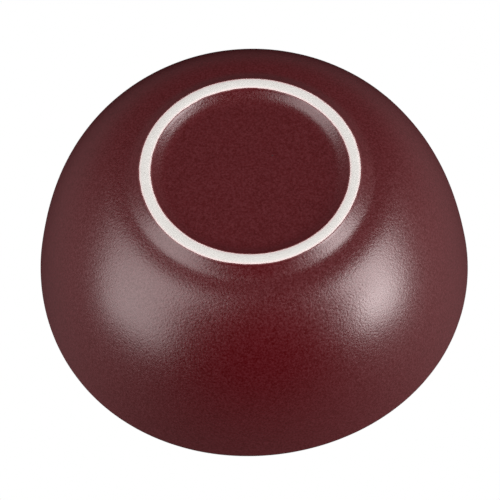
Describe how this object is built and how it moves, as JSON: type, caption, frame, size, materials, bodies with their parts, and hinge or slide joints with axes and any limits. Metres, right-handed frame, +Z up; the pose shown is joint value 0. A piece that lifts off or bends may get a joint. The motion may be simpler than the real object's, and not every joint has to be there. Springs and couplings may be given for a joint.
{
  "type": "ceramic bowl",
  "caption": "Round stoneware bowl with a rounded lip, steep curved wall, low flared foot ring with a bare face, and recessed base, satin glazed inside and out.",
  "frame": {"origin": "centre of the foot ring, on the plane that the bowl stands on; the rim is fired slightly out of round, which puts the centre of the bounding box about 0.5 mm away", "axes": "+Z up, out of the mouth of the bowl; -Y towards the viewer of the picture and +X to the viewer's right when the bowl stands upright; the bulge of the rim points 43.5 degrees from +X towards +Y"},
  "size_m": [0.1591, 0.1591, 0.0645],
  "materials": {
    "bare_clay": "matte",
    "outer_glaze": "satin",
    "inner_glaze": "satin"
  },
  "bodies": {
    "root": {"clay_body": "bare_clay", "outer_glaze": "outer_glaze", "inner_glaze": "inner_glaze", "foot_well_glaze": "outer_glaze"}
  },
  "joints": []
}
